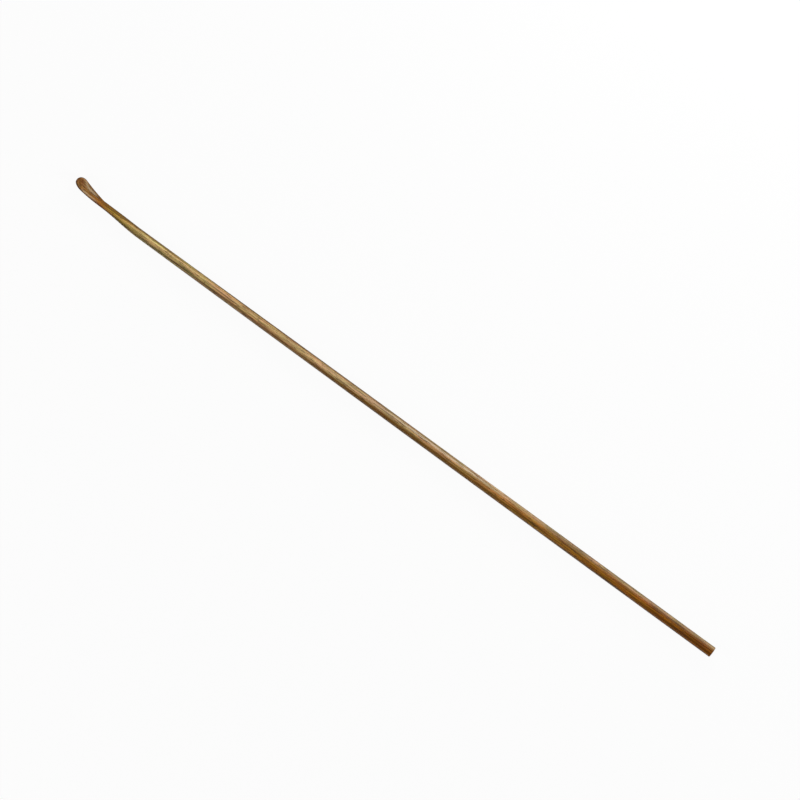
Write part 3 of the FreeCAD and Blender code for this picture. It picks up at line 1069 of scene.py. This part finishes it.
# %% Rubbed, scraped and sawn wood
rubbed = wood_finish("rubbed_side_grain", pore_share=0.95, side_lines=0.85, contrast=0.48,
                     line_contrast=0.38, hue_contrast=0.72, roughness=0.46, darkening=0.45,
                     rim_highlight=0.70, bump=0.5, shine=0.12)
gouged = wood_finish("scraped_hollow", pore_share=0.80, side_lines=0.0, contrast=0.42,
                     line_contrast=0.50, hue_contrast=0.40, roughness=0.50, darkening=0.38,
                     rim_highlight=0.75, bump=0.8, shine=0.10)
sawn = wood_finish("sawn_end_grain", pore_share=0.95, side_lines=0.0, contrast=0.28,
                   line_contrast=0.40, hue_contrast=0.30, roughness=0.58, darkening=0.35,
                   rim_highlight=0.2, bump=1.0, shine=0.15)
for finish in (rubbed, gouged, sawn):
    pick_mesh.materials.append(finish)
print("finishes:", [finish.name for finish in pick_mesh.materials])

# %% [markdown]
# ### Give each face its finish
# A face belongs to the hollow if the gouge has cut all four of its corners, and to the
# sawn end if it lies on the butt's face. The rest is rubbed wood. The finished mesh then
# takes the place of the plain solid and rides with it.

# %% Faces by finish, and the piece in the frame
GOUGED_SLOT, SAWN_SLOT = 1, 2
cut_beside = np.roll(cut, -1, 1)
cut_face = cut[:-1] & cut[1:] & cut_beside[:-1] & cut_beside[1:]
finish_of = np.zeros(len(faces), np.int32)
finish_of[: cut_face.size][cut_face.ravel()] = GOUGED_SLOT
finish_of[: len(butt_face) * ring_size] = SAWN_SLOT
finish_of[cut_face.size : cut_face.size + ring_size] = SAWN_SLOT
pick_mesh.polygons.foreach_set("material_index", finish_of)
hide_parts("ear_pick")
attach(pick, "root")
print("faces by finish", np.bincount(finish_of).tolist())

# %% [markdown]
# ## The paper floor
# A small thing is often photographed on a roll of paper that curves up behind it. The
# floor is such a sheet: flat under the pick, with a low round wall far away. A plane
# would show a horizon in the low views. So the sheet is turned from one profile, as on
# a lathe.

# %% Floor mesh
FLOOR_PROFILE = [(0.0, 0.0), (1.4, 0.0), (2.2, 0.0), (2.5, 0.03), (2.8, 0.14), (3.0, 0.34),
                 (3.08, 0.7), (3.1, 1.2)]
FLOOR_TURNS, FLOOR_GAP = 64, 0.00002
paper_points, paper_faces = [(0.0, 0.0, 0.0)], []
for radius, rise in FLOOR_PROFILE[1:]:
    for step in range(FLOOR_TURNS):
        angle = 2.0 * math.pi * step / FLOOR_TURNS
        paper_points.append((radius * math.cos(angle), radius * math.sin(angle), rise))
for i in range(FLOOR_TURNS):
    j = (i + 1) % FLOOR_TURNS
    paper_faces.append((0, 1 + i, 1 + j))
    for k in range(len(FLOOR_PROFILE) - 2):
        inner, outer = 1 + k * FLOOR_TURNS, 1 + (k + 1) * FLOOR_TURNS
        paper_faces.append((inner + i, outer + i, outer + j, inner + j))
floor_mesh = bpy.data.meshes.new("floor")
floor_mesh.from_pydata(paper_points, [], paper_faces)
floor_mesh.polygons.foreach_set("use_smooth", [True] * len(paper_faces))
floor = bpy.data.objects.new("floor", floor_mesh)
floor.location.z = cad_low[2] - FLOOR_GAP
bpy.context.scene.collection.objects.link(floor)
print("floor of", len(paper_faces), "faces")

# %% [markdown]
# ### White paper without more light
# Lamps strong enough to make paper pure white would also flood the wood. So the camera
# and the reflections see most of the paper's white as its own light, while the lamps
# stay at a plain level and the pick keeps its soft shadow.

# %% Paper material
PAPER_GREY, WHITE, WHITE_SHARE = (0.86, 0.86, 0.86, 1.0), (1.0, 1.0, 1.0, 1.0), 0.94


def seen_directly(tree):
    """1 for rays from the camera and for mirrored or clear ones, else 0."""
    path = place(tree, "ShaderNodeLightPath", "ray kind").outputs
    either = sums(tree, "MAXIMUM", path["Is Camera Ray"], path["Is Glossy Ray"], "seen or glossy")
    return sums(tree, "MAXIMUM", either, path["Is Transmission Ray"], "or clear")


floor_paint = bpy.data.materials.new("pale_paper")
floor_paint.use_nodes = True
paint_tree = floor_paint.node_tree
paint_tree.nodes.clear()
paper = place(paint_tree, "ShaderNodeBsdfDiffuse", "paper", {"Color": PAPER_GREY})
white = place(paint_tree, "ShaderNodeEmission", "white", {"Color": WHITE, "Strength": 1.0})
white_share = sums(paint_tree, "MULTIPLY", seen_directly(paint_tree), WHITE_SHARE, "white share")
paper_mix = place(paint_tree, "ShaderNodeMixShader", "paper and white",
                  {0: white_share, 1: paper.outputs[0], 2: white.outputs[0]})
place(paint_tree, "ShaderNodeOutputMaterial", "surface", {"Surface": paper_mix.outputs[0]})
floor_mesh.materials.append(floor_paint)
print("paper shows", WHITE_SHARE, "of its white by itself")

# %% [markdown]
# ### The room
# Light that comes from all round fills the shadows. It is kept low, because an even
# white room would grey the brown wood.

# %% Room light
ROOM_STRENGTH = 0.10
room = bpy.data.worlds.new("studio")
bpy.context.scene.world = room
room.use_nodes = True
room_tree = room.node_tree
room_tree.nodes.clear()
room_light = place(room_tree, "ShaderNodeBackground", "room light",
                   {"Color": WHITE, "Strength": ROOM_STRENGTH})
place(room_tree, "ShaderNodeOutputWorld", "room", {"Surface": room_light.outputs[0]})
print("room light", ROOM_STRENGTH)

# %% [markdown]
# ### Lamps
# A round stick shows its form by one long soft highlight, so the main light is a narrow
# strip beside the stick and nearly in line with it. Two broad lamps light its ends, and
# a weak one behind keeps the back readable. Each lamp is told by the two ends of its
# long side, which is easier to place than a turned object.

# %% Four soft lamps
def soft_lamp(title, near, far, width, watts):
    """Area lamp along the line from near to far, in metres, aimed at the pick."""
    near, far = Vector(near), Vector(far)
    middle, lengthways = (near + far) / 2, (far - near).normalized()
    backwards = (middle - lengthways * middle.dot(lengthways)).normalized()
    crossways = backwards.cross(lengthways)
    data = bpy.data.lights.new(title, "AREA")
    data.shape = "RECTANGLE"
    data.size = (far - near).length
    data.size_y = width
    data.energy = watts
    facing = Matrix((lengthways, crossways, backwards)).transposed().to_4x4()
    lamp = bpy.data.objects.new(title, data)
    lamp.matrix_world = Matrix.Translation(middle) @ facing
    bpy.context.scene.collection.objects.link(lamp)


soft_lamp("key_strip", near=(-0.06, -0.30, 0.034), far=(0.12, -0.29, 0.125),
          width=0.05, watts=0.80)
soft_lamp("butt_end_lamp", near=(-0.42, -0.32, 0.20), far=(-0.38, -0.12, 0.26),
          width=0.20, watts=1.55)
soft_lamp("head_end_lamp", near=(0.36, 0.32, 0.24), far=(0.32, 0.16, 0.30),
          width=0.20, watts=0.55)
soft_lamp("back_fill", near=(-0.10, 0.36, 0.10), far=(0.16, 0.36, 0.12),
          width=0.12, watts=0.25)
print("lamps:", len(bpy.data.lights))

# %% [markdown]
# ## The camera
# The photograph is a cut-out, turned so that the stick runs from the upper left to the
# lower right. The camera stands square to the stick and looks down on it, and sees the
# hollow 40 degrees from straight on. Its own right and up are set from the slope of the
# stick in the picture, because aiming at a point alone would leave the roll open.

# %% Where the camera looks from
STICK_SLOPE = math.radians(36.16)
CAMERA_RISE = math.radians(52.0)
to_camera = Vector((0.0, -math.cos(CAMERA_RISE), math.sin(CAMERA_RISE)))
stick_normal = Vector((0.0, -math.sin(CAMERA_RISE), -math.cos(CAMERA_RISE)))
slope_cos, slope_sin = math.cos(STICK_SLOPE), math.sin(STICK_SLOPE)
right = slope_cos * Vector((-1, 0, 0)) + slope_sin * stick_normal
up = slope_sin * Vector((1, 0, 0)) + slope_cos * stick_normal
print("camera looks down at", round(math.degrees(CAMERA_RISE)), "degrees")

# %% [markdown]
# ### Lens and aim
# A long lens from far away keeps the thin stick free of perspective. The scale of the
# photograph, in pixels for each millimetre, gives the lens, and the pixel where the
# middle of the stick lies gives the aim.

# %% Camera
PIXELS, PIXELS_PER_MM = 800.0, 4.578
AXIS_MIDDLE_PIXEL = (392.8, 418.8)
CAMERA_DISTANCE, SENSOR_WIDTH, NEAREST, FARTHEST = 1.6, 36.0, 0.05, 20.0
aside = (PIXELS / 2 - AXIS_MIDDLE_PIXEL[0]) / PIXELS_PER_MM * MM
above = (AXIS_MIDDLE_PIXEL[1] - PIXELS / 2) / PIXELS_PER_MM * MM
aim = Vector((0.0, axis_y, axis_z)) + right * aside + up * above
facing_axes = Matrix((right, up, to_camera)).transposed().to_4x4()
lens_data = bpy.data.cameras.new("camera")
lens_data.sensor_width = SENSOR_WIDTH
lens_data.lens = SENSOR_WIDTH * CAMERA_DISTANCE / (PIXELS / PIXELS_PER_MM * MM)
lens_data.clip_start = NEAREST
lens_data.clip_end = FARTHEST
camera = bpy.data.objects.new("camera", lens_data)
camera.matrix_world = Matrix.Translation(aim + to_camera * CAMERA_DISTANCE) @ facing_axes
bpy.context.scene.collection.objects.link(camera)
bpy.context.scene.camera = camera
bpy.context.scene.view_settings.view_transform = "Standard"
print("lens", round(lens_data.lens, 1), "mm")
